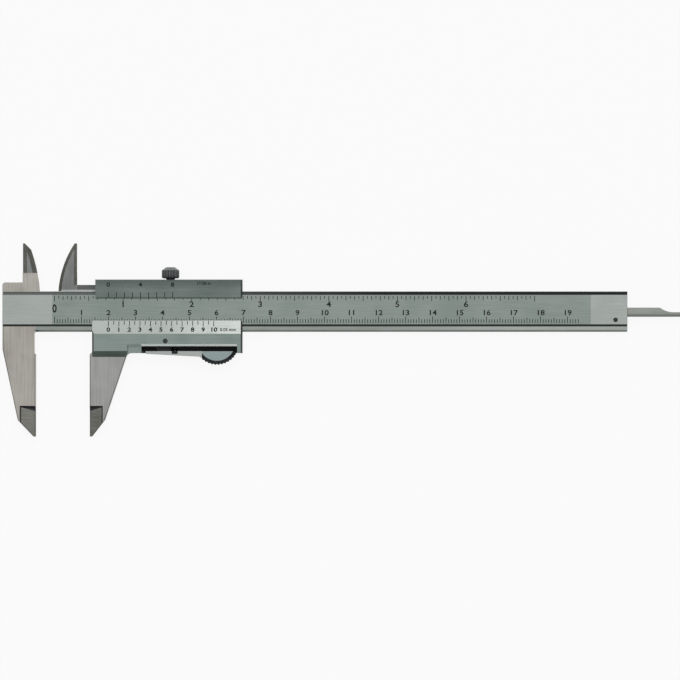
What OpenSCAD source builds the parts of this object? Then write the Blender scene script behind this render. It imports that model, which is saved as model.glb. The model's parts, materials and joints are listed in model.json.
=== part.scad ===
// Pocket vernier caliper with inside jaws, depth rod, lock screw and sprung thumb lever, lying on its back.
// X runs along the beam, Y across it towards the inside jaws, and Z up out of the scale face.
// Sizes count from the fixed measuring face (X), the beam's lower guide edge (Y) and the slider's back (Z).

/* [Measuring] */
// Opening of the jaws as drawn
opening = 20; // [2:1:140]
// Largest reading of the main scale
reading_max = 150; // [120:5:200]

/* [Beam] */
// Height of the beam between its guide edges
beam_h = 15; // [13.5:0.5:18]
// Thickness of the beam and of the outside jaws
beam_t = 3.4; // [3:0.1:4.4]
// Chamfer along the lower front edge
beam_edge = 0.7; // [0.2:0.1:0.8]
// Chamfer along the other long edges
beam_break = 0.15; // [0.05:0.05:0.15]
// Width of the lower groove along the scale face
line_low_w = 0.8; // [0.4:0.1:1.2]
// Width of the upper groove along the scale face
line_top_w = 1.1; // [0.6:0.1:1.4]
// Depth of each groove along the scale face
line_d = 0.5; // [0.2:0.1:0.8]
// Middle of the lower groove above the lower guide edge
line_low_y = 2.4; // [1.8:0.1:3]
// Land between the upper groove and the upper guide edge
line_top_land = 0.2; // [0.2:0.05:0.6]

/* [Outside jaws] */
// Reach of both outside jaws below the lower guide edge
jaw_len = 38.8; // [35:0.2:46]
// Depth below the guide edge at which the measuring faces begin
face_start = 8.4; // [7.4:0.2:11]
// Set-back of the fixed jaw above its measuring face
face_relief = 0.55; // [0.3:0.05:1]
// Radius of the fillet in the corner between the fixed jaw and the beam
corner_r = 0.8; // [0.4:0.1:1]
// Width of the fixed jaw at its root
fixed_root_w = 12.3; // [11:0.1:15]
// Length of the fixed jaw's straight back below the guide edge
fixed_back_len = 6.5; // [3:0.5:10]
// Width of the fixed jaw where its tip bevel begins
fixed_tip_w = 6.7; // [5:0.1:8]
// Width of the moving jaw at its root
moving_root_w = 14; // [12:0.1:16]
// Width of the moving jaw where its tip bevel begins
moving_tip_w = 5.7; // [4:0.1:7]
// Fillet between the moving jaw's back and the slider
root_fillet = 2; // [1:0.25:3]
// Height of the bevel at both tips
tip_h = 6.2; // [4:0.2:8]
// Width of the blunt end of both tips
tip_flat = 0.9; // [0.5:0.1:1.5]
// Length of the thinned knife part of both jaws
knife_len = 11.4; // [8:0.2:14]
// Thickness left at the measuring faces along the knife part
knife_t = 1.2; // [0.6:0.1:2]
// Width of the fixed jaw's knife bevel
fixed_knife_w = 5.4; // [3:0.1:5.8]
// Width of the moving jaw's knife bevel
moving_knife_w = 4.4; // [3:0.1:4.8]
// Depth of the shoulder at the far side of both knife bevels
knife_shoulder = 0.5; // [0.2:0.05:0.6]

/* [Inside jaws] */
// Rise of both inside jaws above the upper guide edge
nib_h = 17.8; // [15:0.2:20]
// Distance of the inside edges behind the outside measuring faces
nib_back = 4.8; // [4:0.1:6]
// Width of the fixed inside jaw at the upper guide edge
fixed_nib_w = 6.3; // [5:0.1:8]
// Width of the moving inside jaw at the upper guide edge
moving_nib_w = 6.9; // [5:0.1:7.5]
// Width of the fixed inside jaw at its tip, before its corner is cut
fixed_nib_tip_w = 2.2; // [1.6:0.1:2.8]
// Width of the moving inside jaw at its tip
moving_nib_tip_w = 0.9; // [0.5:0.1:1.5]
// Radius of the fixed inside jaw's curved back
fixed_nib_r = 60; // [40:1:80]
// Radius of the moving inside jaw's curved back
moving_nib_r = 36; // [28:1:60]
// Cut corner at the fixed inside jaw's tip
nib_corner = 1.5; // [0.5:0.1:1.5]
// Height above the guide edge at which the knife edges begin
nib_knife_y = 6.8; // [5:0.2:9]
// Thickness left at the knife edges
nib_edge_t = 0.4; // [0.2:0.1:0.8]
// Width over which the knife edges run out
nib_bevel_w = 1.6; // [0.8:0.1:2]
// Width of the bevels along the front of the moving inside jaw
nib_front_w = 1.1; // [0.6:0.1:1.5]
// Depth of those bevels at the edges
nib_front_d = 0.4; // [0.2:0.05:0.5]
// Play between the two inside jaws where they pass
nib_play = 0.05; // [0.03:0.01:0.15]
// Rise of the fixed head beside its inside jaw
head_rise = 3.3; // [2:0.1:5]
// Cut corner of the fixed head
head_corner = 0.7; // [0.3:0.1:1.5]
// Rise of the arm that carries the moving inside jaw
arm_rise = 2.4; // [1.8:0.1:3.2]
// Play between that arm and the upper guide edge
arm_play = 0.1; // [0.05:0.05:0.3]

/* [Slider] */
// Reach of the slider behind its measuring face
slider_len = 56.6; // [54:0.2:64]
// Set-back of the slider's body behind the moving measuring face
slider_x = 1; // [0.8:0.05:1.4]
// Set-back of the upper rail behind the moving measuring face
up_rail_x = 2.2; // [1.6:0.1:3]
// Thickness of the web behind the beam
web_t = 1.6; // [1.3:0.1:2.2]
// Thickness of the front rails
rail_t = 1.8; // [1.4:0.1:2.4]
// Thickness of both vernier edges
vernier_edge_t = 0.35; // [0.2:0.05:0.6]
// Height of the lower vernier edge above the lower guide edge
vernier_low_y = 4.2; // [3.6:0.1:5]
// Run of the lower vernier bevel
vernier_run = 4.9; // [3:0.1:6]
// Overlap of the upper vernier edge below the upper guide edge
vernier_up_lap = 2.65; // [1.8:0.05:3.4]
// Rise of the slider above the upper guide edge
slider_rise = 4.35; // [3.8:0.05:6]
// Drop of the front wall below the lower guide edge
wall_drop = 5.3; // [5.2:0.1:6.5]
// Chamfer along the slider's outer edges
slider_edge = 0.4; // [0.2:0.1:0.6]
// Chamfer at the ends of the rails
end_edge = 0.6; // [0.3:0.1:0.8]
// Height of the bright bevel along the wall's lower edge
wall_bevel = 0.8; // [0.6:0.1:1.2]
// Start of the ramp from the slider's front down to the jaw
ramp_top = 7.1; // [6:0.1:7.4]
// End of that ramp below the lower guide edge
ramp_end = 9.3; // [8.5:0.1:11]
// Play between the slider and the beam's faces
side_play = 0.08; // [0.03:0.01:0.12]
// Play at the guide edges
guide_play = 0.03; // [0.01:0.01:0.08]

/* [Gib and lock screw] */
// Thickness of the gib
gib_t = 0.95; // [0.6:0.05:1.2]
// Play of the gib in its slot
gib_play = 0.05; // [0.02:0.01:0.15]
// Wall that keeps the gib from leaving at each end
gib_wall = 1.6; // [1.2:0.1:2.5]
// Radius of the gib's two adjusting screws
gib_screw_r = 1; // [0.8:0.1:1.3]
// Place of the first adjusting screw behind the measuring face
gib_screw_x1 = 12; // [8:0.5:16]
// Place of the second adjusting screw behind the measuring face
gib_screw_x2 = 47; // [42:0.5:50]
// Width of the driving slots
slot_w = 0.4; // [0.3:0.05:0.6]
// Depth of the driving slots
slot_d = 0.5; // [0.3:0.1:0.8]
// Place of the lock screw behind the measuring face
lock_x = 29.9; // [25:0.1:36]
// Radius of the lock screw's shank
lock_r = 1.5; // [1.25:0.25:2]
// Radius of the lock screw's knurled head
lock_head_r = 3.3; // [2.8:0.1:3.3]
// Height of the lock screw's head
lock_head_h = 4.1; // [3:0.1:6]
// Height of the neck below the head
lock_neck_h = 0.3; // [0.2:0.05:1]
// Radius of the flat on top of the head
lock_top_r = 1.7; // [1:0.1:2.6]
// Height of the chamfer round the top of the head
lock_top_h = 1.2; // [0.5:0.1:2]
// Teeth of the head's straight knurl
lock_teeth = 34; // [20:2:48]
// Depth of the knurl
lock_tooth_d = 0.22; // [0.1:0.02:0.35]
// Thickness of the clamping pad under the lock screw
pad_t = 0.6; // [0.4:0.1:1]
// Gap that the pad closes when the screw is tightened
pad_gap = 0.15; // [0.13:0.01:0.25]
// Running clearance of screws in their holes
screw_play = 0.04; // [0.02:0.01:0.08]

/* [Thumb lever] */
// Start of the lever's pocket behind the measuring face
pocket_x = 20.2; // [18:0.2:21]
// Wall that closes the pocket at its far end
pocket_wall = 1.9; // [1.5:0.1:3]
// Drop of the web and of the blocks at the pocket's ends
block_drop = 7.9; // [7.6:0.1:8.2]
// Place of the lever's pivot behind the measuring face
pivot_x = 28.1; // [27:0.1:29]
// Depth of the pivot below the lower guide edge
pivot_drop = 3.4; // [3.2:0.1:3.6]
// Radius of the pivot pin
pivot_r = 0.9; // [0.7:0.1:1]
// Running clearance of the lever on its pin
pivot_play = 0.04; // [0.02:0.01:0.08]
// Metal round the lever's bore
pivot_wall = 0.9; // [0.7:0.1:1]
// Play between the lever and the pocket's walls
lever_play = 0.12; // [0.08:0.02:0.2]
// Width of the thumb bar across the slider
bar_w = 4.4; // [3.6:0.2:5]
// Depth of the thumb bar's top below the lower guide edge
bar_top = 7.15; // [7.1:0.05:7.4]
// Height of the thumb bar at its free tail
bar_tail_h = 1; // [0.7:0.1:1.2]
// Height of the thumb bar where it meets the thumb pad
bar_pad_h = 2.1; // [1.6:0.1:2.6]
// Gap between the thumb bar's ends and the pocket's ends
bar_gap = 0.6; // [0.5:0.1:1]
// Middle of the thumb pad behind the measuring face
thumb_x = 47.15; // [45:0.1:47.4]
// Radius of the thumb pad
thumb_r = 8.4; // [7.5:0.1:9]
// Lowest point of the thumb pad below the lower guide edge
thumb_drop = 12.3; // [11.5:0.1:13]
// Teeth of the thumb pad
thumb_teeth = 16; // [12:1:28]
// Depth of the thumb pad's teeth
thumb_tooth_d = 0.4; // [0.2:0.02:0.5]
// Width of the bevel round the thumb pad's front
thumb_rim_w = 1.6; // [0.6:0.1:1.8]
// Depth of that bevel at the pad's rim
thumb_rim_d = 0.9; // [0.5:0.1:1.2]
// Width of the notch in the thumb bar's front edge below its spring
notch_w = 2.2; // [1.4:0.1:3]
// Height of that notch
notch_h = 1; // [0.6:0.1:1.1]
// Depth of that notch behind the thumb bar's front
notch_d = 1.2; // [0.8:0.1:1.4]
// Width of the brake nose that bears on the beam
nose_w = 2.6; // [2:0.1:3]
// Distance of the brake nose's middle before the pivot
nose_reach = 4.2; // [3.8:0.1:4.6]
// Outer radius of the lever's spring
spring_r = 1; // [0.8:0.05:1.1]
// Radius of the spring's wire
spring_wire_r = 0.18; // [0.12:0.01:0.2]
// Turns of the spring
spring_turns = 6; // [4:1:6]
// Depth of the spring's seats
seat_d = 0.35; // [0.2:0.05:0.5]

/* [Depth rod and end stop] */
// Middle of the depth rod above the lower guide edge
rod_y = 7.3; // [6.9:0.1:8]
// Height of the depth rod
rod_h = 3.4; // [2.8:0.1:3.6]
// Thickness of the depth rod
rod_t = 1.5; // [1.1:0.1:1.7]
// Play between the depth rod and its groove
rod_play = 0.15; // [0.08:0.01:0.25]
// Depth of the rod's back inside the beam's back face
rod_sink = 0.1; // [0.05:0.05:0.2]
// Start of the depth rod behind the moving measuring face
rod_x = 38; // [34:0.5:44]
// Length of the relieved tip
rod_tip_len = 7.8; // [4:0.2:10]
// Radius of the hollow that leads to the relieved tip
rod_tip_r = 8; // [3:0.5:10]
// Height left at the relieved tip
rod_tip_h = 1.7; // [1.2:0.1:2.2]
// Radius of the rivets that hold the rod to the slider
rivet_r = 0.75; // [0.6:0.05:0.9]
// Countersunk head radius of the rivets
rivet_head_r = 1.3; // [1.1:0.05:1.5]
// Distance of each rivet from its end of the seat
rivet_inset = 4; // [3:0.2:5]
// Length of the end stop along the beam
stop_len = 11; // [8:0.5:14]
// Thickness of the end stop
stop_t = 1.5; // [0.9:0.1:1.6]
// Distance of the end stop from the beam's guide edges
stop_inset = 1; // [0.5:0.1:2]
// Run left between the slider and the end stop at the largest reading
stop_run = 1.6; // [1:0.1:4]
// Radius of the end stop's screws
stop_screw_r = 0.85; // [0.7:0.05:0.9]
// Countersunk head radius of those screws
stop_head_r = 1.6; // [1.4:0.05:1.7]
// Distance of the screws from the middle of the depth rod
stop_screw_off = 2.85; // [2.8:0.05:3.2]
// Place of the screws before the end of the beam
stop_screw_x = 4.4; // [3:0.1:6]

/* [Hidden] */
$fn = 64;

// How far a cut runs past the face it leaves by, and the bite of joined shapes into each other
past = 1;
bite = 0.5;
// Gap of pressed and seated pieces, which lie still in one body
seat_gap = 0.01;

// Levels from the slider's back up to its front
z_rear = web_t + side_play;
z_front = z_rear + beam_t;
z_mid = z_rear + beam_t / 2;
z_rail = z_front + side_play;
z_top = z_rail + rail_t;

// Heights across the beam
arm_y = beam_h + arm_play;
gib_y = beam_h + guide_play;
gib_top = gib_y + gib_t;
gib_seat_y = gib_top + gib_play;
slider_top = beam_h + slider_rise;
nib_top = beam_h + nib_h;

// Places along the beam
beam_end = slider_len + reading_max + stop_run + stop_len;
pocket_end = slider_len - pocket_wall;
bar_x0 = pocket_x + bar_gap;
bar_x1 = pocket_end - bar_gap;
thumb_y = thumb_r - thumb_drop;
eye_r = pivot_r + pivot_play + pivot_wall;
guide_rail_h = pivot_drop - eye_r - 2 * lever_play;
spring_x = pivot_x + eye_r + bar_gap + spring_r;
pad_meet_x = thumb_x - sqrt(pow(thumb_r - thumb_tooth_d, 2) - pow(thumb_y + bar_top + bar_pad_h, 2));
rod_groove_x = rod_x - past - 2 * rod_play;
stop_x = beam_end - stop_len;

// Middle of the box round the whole caliper, which becomes the origin
middle_x = (beam_end + opening - fixed_root_w) / 2;
middle_y = (nib_top - jaw_len) / 2;

// Extrusions of a (y, z) profile along the beam, an (x, z) profile across it and an (x, y) outline upwards
module along_x(x0, x1) { translate([x0, 0, 0]) rotate([90, 0, 90]) linear_extrude(x1 - x0) children(); }
module along_y(y0, y1) { translate([0, y1, 0]) rotate([90, 0, 0]) linear_extrude(y1 - y0) children(); }
module along_z(z0, z1) { translate([0, 0, z0]) linear_extrude(z1 - z0) children(); }

// Round bars across the beam and through it
module bar_y(x, y0, y1, r) { translate([x, y0, z_mid]) rotate([-90, 0, 0]) cylinder(h = y1 - y0, r = r); }
module bar_z(x, y, z0, z1, r) { translate([x, y, z0]) cylinder(h = z1 - z0, r = r); }

// A countersunk shank whose head lies at z0 and opens downwards
module countersunk(x, y, z0, z1, r, head_r) {
    bar_z(x, y, z0, z1, r);
    translate([x, y, z0]) cylinder(h = head_r - r, r1 = head_r, r2 = r);
}

// Everything that slides is drawn from the moving measuring face
module sliding() { translate([opening, 0, 0]) children(); }
module placed() { translate([-middle_x, -middle_y, 0]) children(); }

// Centre of the arc of radius r from p to q that bulges to the left of the way from p to q
function arc_centre(p, q, r) =
    let (half = (q - p) / 2, run = norm(half), side = [half.y, -half.x] / run)
    p + half + side * sqrt(r * r - run * run);

// Ring that bevels a back of radius r over the width run, from the face z_face to z_edge at its rim
module back_bevel(centre, r, run, z_face, z_edge) {
    outward = sign(z_face - z_edge) * past;
    translate([centre.x, centre.y, 0]) rotate_extrude($fn = 180)
        polygon([[r - run, z_face], [r - run, z_face + outward], [r + past, z_face + outward],
                 [r + past, z_edge], [r, z_edge]]);
}

// Wedge that thins a jaw towards an edge at x = 0, from z_edge there to z_face at x = run
module edge_wedge(run, z_face, z_edge) {
    outward = sign(z_face - z_edge) * past;
    polygon([[0, z_edge], [run, z_face], [run, z_face + outward],
             [-sign(run) * past, z_face + outward], [-sign(run) * past, z_edge]]);
}

// Knife bevel of width w on one face of an outside jaw, with a shoulder at its far side
module knife_wedge(w, z_face, z_edge) {
    up = sign(z_face - z_edge);
    side = sign(w);
    polygon([[0, z_edge], [w, z_face - up * knife_shoulder],
             [w + side * (knife_shoulder + past), z_face + up * past], [-side * past, z_face + up * past],
             [-side * past, z_edge]]);
}

// Both knife bevels of an outside jaw; w is below 0 for a jaw that lies before its measuring face
module jaw_knife(w) {
    top = knife_len - jaw_len;
    tip = -jaw_len - past;
    reach = abs(w) + knife_shoulder + 2 * past;
    intersection() {
        along_y(tip, top + past) {
            knife_wedge(w, z_front, z_mid + knife_t / 2);
            knife_wedge(w, z_rear, z_mid - knife_t / 2);
        }
        along_x(-reach, reach)
            polygon([[tip - past, z_rear - past], [top + past, z_rear - past], [top - beam_t / 2, z_mid],
                     [top + past, z_front + past], [tip - past, z_front + past]]);
    }
}

// Beam

module beam_profile() {
    low = line_low_y - line_low_w / 2;
    top = beam_h - line_top_land - line_top_w;
    floor_z = z_front - line_d;
    polygon([[0, z_rear + beam_break], [beam_break, z_rear], [beam_h - beam_break, z_rear],
             [beam_h, z_rear + beam_break], [beam_h, z_front - beam_break], [beam_h - beam_break, z_front],
             [top + line_top_w, z_front], [top + line_top_w, floor_z], [top, floor_z], [top, z_front],
             [low + line_low_w, z_front], [low + line_low_w, floor_z], [low, floor_z], [low, z_front],
             [beam_edge, z_front], [0, z_front - beam_edge]]);
}

module fixed_jaw_outline() {
    foot = line_low_y - line_low_w / 2;
    polygon([[-fixed_root_w, foot], [-fixed_root_w, -fixed_back_len], [-fixed_tip_w, tip_h - jaw_len],
             [-tip_flat, -jaw_len], [0, -jaw_len], [0, -face_start], [-face_relief, face_relief - face_start],
             [-face_relief, foot]]);
    translate([-face_relief - bite, -corner_r]) difference() {
        square([bite + corner_r, corner_r + bite]);
        translate([bite + corner_r, 0]) circle(r = corner_r);
    }
}

fixed_nib_centre =
    arc_centre([fixed_nib_tip_w - nib_back, nib_top], [fixed_nib_w - nib_back, beam_h], fixed_nib_r);

module fixed_nib_outline() {
    foot = beam_h - line_top_land;
    head_top = beam_h + head_rise;
    polygon([[-fixed_root_w, foot], [bite - nib_back, foot], [bite - nib_back, head_top],
             [head_corner - fixed_root_w, head_top], [-fixed_root_w, head_top - head_corner]]);
    difference() {
        intersection() {
            translate([-nib_back, foot]) square([fixed_nib_r, nib_top - foot]);
            translate(fixed_nib_centre) circle(r = fixed_nib_r, $fn = 180);
        }
        translate([fixed_nib_tip_w - nib_back, nib_top])
            polygon(nib_corner * [[-2, 1], [2, 1], [2, -3]]);
    }
}

module fixed_nib() {
    z_edge = z_mid + nib_play + nib_edge_t;
    difference() {
        along_z(z_mid + nib_play, z_front) fixed_nib_outline();
        translate([-nib_back, 0, 0]) along_y(beam_h + nib_knife_y, nib_top + past)
            edge_wedge(nib_bevel_w, z_front, z_edge);
        intersection() {
            back_bevel(fixed_nib_centre, fixed_nib_r, nib_bevel_w, z_front, z_edge);
            translate([-nib_back, beam_h + nib_knife_y, 0]) cube([fixed_nib_r, nib_h, z_top]);
        }
    }
}

module beam() {
    color("#a0a6a1") difference() {
        union() {
            along_x(-fixed_root_w, beam_end) beam_profile();
            along_z(z_rear, z_front) fixed_jaw_outline();
            fixed_nib();
        }
        jaw_knife(-fixed_knife_w);
        translate([rod_groove_x, rod_y - rod_h / 2 - rod_play, z_rear - past])
            cube([beam_end, rod_h + 2 * rod_play, past + rod_sink + rod_t + rod_play]);
        bar_z(beam_end - stop_screw_x, rod_y - stop_screw_off, z_rear - past, z_front + past,
              stop_screw_r + seat_gap);
        bar_z(beam_end - stop_screw_x, rod_y + stop_screw_off, z_rear - past, z_mid + seat_gap,
              stop_screw_r + seat_gap);
    }
}

module end_stop() {
    color("#8f9390") difference() {
        along_x(stop_x, beam_end)
            polygon([[stop_inset, z_rear], [beam_h - stop_inset, z_rear],
                     [beam_h - stop_inset, z_rear - stop_t + slider_edge],
                     [beam_h - stop_inset - slider_edge, z_rear - stop_t],
                     [stop_inset + slider_edge, z_rear - stop_t], [stop_inset, z_rear - stop_t + slider_edge]]);
        for (side = [-1, 1])
            countersunk(beam_end - stop_screw_x, rod_y + side * stop_screw_off, z_rear - stop_t, z_front,
                        stop_screw_r + seat_gap, stop_head_r + seat_gap);
    }
}

module end_stop_screw(side, end_z) {
    x = beam_end - stop_screw_x;
    y = rod_y + side * stop_screw_off;
    color("#4a4f4b") difference() {
        countersunk(x, y, z_rear - stop_t, end_z, stop_screw_r, stop_head_r);
        translate([x - stop_head_r, y - slot_w / 2, z_rear - stop_t - past])
            cube([2 * stop_head_r, slot_w, past + slot_d]);
    }
}

// Slider

// Both vernier slopes, each as its two (y, z) ends
vernier_z = z_rail + vernier_edge_t;
low_slope = [[vernier_low_y - vernier_run, z_top], [vernier_low_y, vernier_z]];
up_slope = [[beam_h - vernier_up_lap, vernier_z], [slider_top - slider_edge, z_top]];

// Back web, upper rail with the gib's slot and lower rail, seen along the beam
module slider_profile() {
    polygon([[slider_edge - block_drop, 0], [slider_top - slider_edge, 0], [slider_top, slider_edge],
             [slider_top, z_top - slider_edge], up_slope[1], up_slope[0], [beam_h - vernier_up_lap, z_rail],
             [gib_seat_y, z_rail], [gib_seat_y, web_t], [-guide_play, web_t], [-guide_play, z_rail],
             [vernier_low_y, z_rail], low_slope[1], low_slope[0],
             [wall_bevel - wall_drop, z_top], [-wall_drop, z_top - slider_edge], [-wall_drop, web_t],
             [-block_drop, web_t], [-block_drop, slider_edge]]);
}

// How far the jaw's plate and its front ramp reach up into the slider's wall
root_y = bite + wall_bevel - wall_drop;

// Straight back of the moving jaw, from its root to the start of its tip bevel
jaw_root = [moving_root_w, -block_drop];
jaw_back = ([moving_tip_w, tip_h - jaw_len] - jaw_root) / norm([moving_tip_w, tip_h - jaw_len] - jaw_root);
fillet_centre = jaw_root + root_fillet * [(1 + jaw_back.x) / -jaw_back.y, -1];

module moving_jaw_outline() {
    polygon([[slider_x, root_y], [slider_x, slider_x - face_start], [0, -face_start], [0, -jaw_len],
             [tip_flat, -jaw_len], [moving_tip_w, tip_h - jaw_len], jaw_root, [pocket_x, -block_drop],
             [pocket_x, root_y]]);
}

module root_fillet_outline() {
    difference() {
        polygon([jaw_root + bite * [-1, 1], [fillet_centre.x, bite - block_drop],
                 [fillet_centre.x, -block_drop], fillet_centre,
                 fillet_centre + root_fillet * [jaw_back.y, -jaw_back.x]]);
        translate(fillet_centre) circle(r = root_fillet);
    }
}

// Ramps between the slider's thick body and the jaw, in front and behind
module jaw_ramps() {
    intersection() {
        along_x(slider_x, moving_root_w) {
            polygon([[root_y, z_front - bite], [root_y, z_top], [-ramp_top, z_top], [-ramp_end, z_front],
                     [-ramp_end, z_front - bite]]);
            polygon([[slider_edge - block_drop, z_rear + bite], [slider_edge - block_drop, 0], [-block_drop, 0],
                     [ramp_top - ramp_end - block_drop, z_rear],
                     [ramp_top - ramp_end - block_drop, z_rear + bite]]);
        }
        along_z(-past, z_top + past) moving_jaw_outline();
    }
}

moving_nib_centre =
    arc_centre([-nib_back - moving_nib_w, arm_y], [-nib_back - moving_nib_tip_w, nib_top], moving_nib_r);

module moving_nib() {
    z_face = z_mid - nib_play;
    z_edge = z_face - nib_front_d;
    arm_top = beam_h + arm_rise;
    difference() {
        along_z(z_rear, z_face) {
            intersection() {
                translate([-nib_back - moving_nib_r, arm_y]) square([moving_nib_r, nib_top - arm_y]);
                translate(moving_nib_centre) circle(r = moving_nib_r, $fn = 180);
            }
            translate([-nib_back - bite, arm_y]) square([nib_back + up_rail_x + 2 * bite, arm_top - arm_y]);
        }
        translate([-nib_back, 0, 0]) {
            along_y(beam_h + nib_knife_y, nib_top + past) edge_wedge(-nib_bevel_w, z_rear, z_edge - nib_edge_t);
            along_y(arm_top, nib_top + past) edge_wedge(-nib_front_w, z_face, z_edge);
        }
        intersection() {
            back_bevel(moving_nib_centre, moving_nib_r, nib_bevel_w, z_rear, z_edge - nib_edge_t);
            translate([-nib_back - moving_nib_r, beam_h + nib_knife_y, 0]) cube([moving_nib_r, nib_h, z_top]);
        }
        intersection() {
            back_bevel(moving_nib_centre, moving_nib_r, nib_front_w, z_face, z_edge);
            translate([-nib_back - moving_nib_r, arm_y - past, 0])
                cube([moving_nib_r, nib_h + 2 * past, z_top]);
        }
    }
}

// Cut that chamfers an end of a rail along a face that runs from p to q, two (y, z) points; side is 1 where the
// rail runs on towards +X
module end_chamfer(x, side, p, q) {
    run = q - p;
    translate([0, p.x, p.y]) rotate([atan2(run.y, run.x), 0, 0]) along_y(-past, norm(run) + past)
        polygon([[x - side * past, -end_edge - past], [x + side * (end_edge + past), past],
                 [x - side * past, past]]);
}

// Places of the two adjusting screws and of the two rivets, near the jaw and far from it
gib_screw_places = [gib_screw_x1, gib_screw_x2];
rivet_places = [rod_x + rivet_inset, slider_len - rivet_inset];

module slider() {
    color("#87938e") difference() {
        union() {
            difference() {
                along_x(slider_x, slider_len) slider_profile();
                translate([0, beam_h - vernier_up_lap - past, web_t])
                    cube([up_rail_x, slider_rise + vernier_up_lap + 2 * past, z_top]);
                translate([0, beam_h + arm_rise, -past]) cube([up_rail_x, slider_rise, z_top]);
            }
            for (x = [up_rail_x, slider_len - gib_wall])
                translate([x, arm_y, web_t - bite])
                    cube([gib_wall, gib_seat_y - arm_y + bite, z_rail - web_t + 2 * bite]);
            along_z(z_rear, z_front) {
                moving_jaw_outline();
                root_fillet_outline();
            }
            jaw_ramps();
            moving_nib();
            translate([pocket_end, -block_drop, slider_edge])
                cube([pocket_wall, block_drop - wall_drop + wall_bevel + bite, z_top - slider_edge]);
            translate([rod_x, rod_y - rod_h / 2, web_t - bite])
                cube([slider_len - rod_x, rod_h, bite + side_play + rod_sink]);
        }
        jaw_knife(moving_knife_w);
        end_chamfer(slider_x, 1, [-ramp_end, z_top], low_slope[0]);
        end_chamfer(slider_len, -1, [-block_drop, z_top], low_slope[0]);
        end_chamfer(slider_len, -1, low_slope[0], low_slope[1]);
        end_chamfer(slider_len, -1, up_slope[0], up_slope[1]);
        translate([pocket_x, -block_drop - past, web_t])
            cube([pocket_end - pocket_x, block_drop + past - guide_rail_h, z_rail - web_t]);
        translate([pivot_x - nose_reach - nose_w / 2 - bar_gap, -guide_rail_h - past, web_t])
            cube([nose_w + 2 * bar_gap, guide_rail_h + 2 * past, z_rail - web_t]);
        bar_z(pocket_x, (-wall_drop - bar_top) / 2, web_t, z_top + past, (bar_top - wall_drop) / 2);
        bar_z(pivot_x, -pivot_drop, -past, z_top + past, pivot_r + seat_gap);
        bar_y(spring_x, -guide_rail_h - past, seat_d - guide_rail_h, spring_r + lever_play);
        bar_y(lock_x, gib_seat_y - past, slider_top + past, lock_r + screw_play);
        for (x = gib_screw_places) bar_y(x, gib_seat_y - past, slider_top + past, gib_screw_r + screw_play);
        for (x = rivet_places)
            countersunk(x, rod_y, 0, z_mid, rivet_r + seat_gap, rivet_head_r + seat_gap);
    }
}

// Gib, its screws and the lock screw

module gib() {
    color("#b08d4a") translate([up_rail_x + gib_wall + gib_play, gib_y, z_rear + gib_play])
        cube([slider_len - up_rail_x - 2 * (gib_wall + gib_play), gib_t, beam_t - 2 * gib_play]);
}

module gib_screw(x) {
    top = slider_top - slot_d;
    color("#5d625f") difference() {
        bar_y(x, gib_top, top, gib_screw_r);
        translate([x - gib_screw_r - past, top - slot_d, z_mid - slot_w / 2])
            cube([2 * (gib_screw_r + past), slot_d + past, slot_w]);
    }
}

module lock_pad() {
    color("#b8924d") bar_y(lock_x, gib_top + pad_gap, gib_top + pad_gap + pad_t, lock_r);
}

// Star of straight teeth on a round of radius r
module tooth_ring(r, depth, teeth) {
    polygon([for (i = [0 : 2 * teeth - 1])
                 (r - (i % 2) * depth) * [cos(180 * i / teeth), sin(180 * i / teeth)]]);
}

module lock_screw() {
    tip = gib_top + pad_gap + pad_t + seat_gap;
    neck_y = slider_top + pad_gap + screw_play;
    neck_top = neck_y + lock_neck_h;
    head_top = neck_top + lock_head_h;
    foot_break = lock_tooth_d * 2;
    rim_r = lock_head_r + lock_tooth_d;
    top_slope = lock_top_h / (lock_head_r - lock_top_r);
    color("#46484a") translate([lock_x, 0, z_mid]) rotate([-90, 0, 0]) {
        translate([0, 0, tip]) cylinder(h = neck_y - tip + bite, r = lock_r);
        translate([0, 0, neck_y]) cylinder(h = lock_neck_h + bite, r = lock_top_r);
        intersection() {
            translate([0, 0, neck_top]) linear_extrude(lock_head_h)
                tooth_ring(lock_head_r, lock_tooth_d, lock_teeth);
            rotate_extrude()
                polygon([[0, neck_top], [lock_head_r - foot_break, neck_top],
                         [rim_r, neck_top + foot_break + lock_tooth_d],
                         [rim_r, head_top - lock_top_h - lock_tooth_d * top_slope],
                         [lock_top_r, head_top], [0, head_top]]);
        }
    }
}

// Thumb lever

// Thumb bar below the slider, with the toothed thumb pad at its far end
module thumb_bar_outline() {
    pad_sweep = 140;
    polygon([[bar_x0, -bar_top], [bar_x0, -bar_top - bar_tail_h], [pad_meet_x, -bar_top - bar_pad_h],
             [thumb_x, -bar_top - bar_pad_h], [thumb_x, -bar_top]]);
    intersection() {
        translate([bar_x0, -thumb_drop - past]) square([bar_x1 - bar_x0, thumb_drop + past - bar_top]);
        translate([thumb_x, thumb_y])
            polygon(concat([[0, 0]],
                [for (i = [0 : 2 * thumb_teeth])
                    let (a = -90 + pad_sweep * (i / (2 * thumb_teeth) - 0.5))
                    (thumb_r - (1 - i % 2) * thumb_tooth_d) * [cos(a), sin(a)]]));
    }
}

// Part of the lever inside the pocket: bearing eye, brake nose and the neck down to the thumb bar
module lever_core_outline() {
    nose_x = pivot_x - nose_reach;
    translate([pivot_x, -pivot_drop]) circle(r = eye_r);
    polygon([[nose_x - nose_w / 2, -guide_play], [nose_x + nose_w / 2, -guide_play],
             [nose_x + nose_w / 2, -guide_rail_h - lever_play], [pivot_x, eye_r - pivot_drop],
             [pivot_x + eye_r, -pivot_drop],
             [pivot_x + eye_r, -bar_top - bite], [pivot_x - nose_w, -bar_top - bite],
             [nose_x - nose_w / 2, -pivot_drop]]);
}

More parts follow.
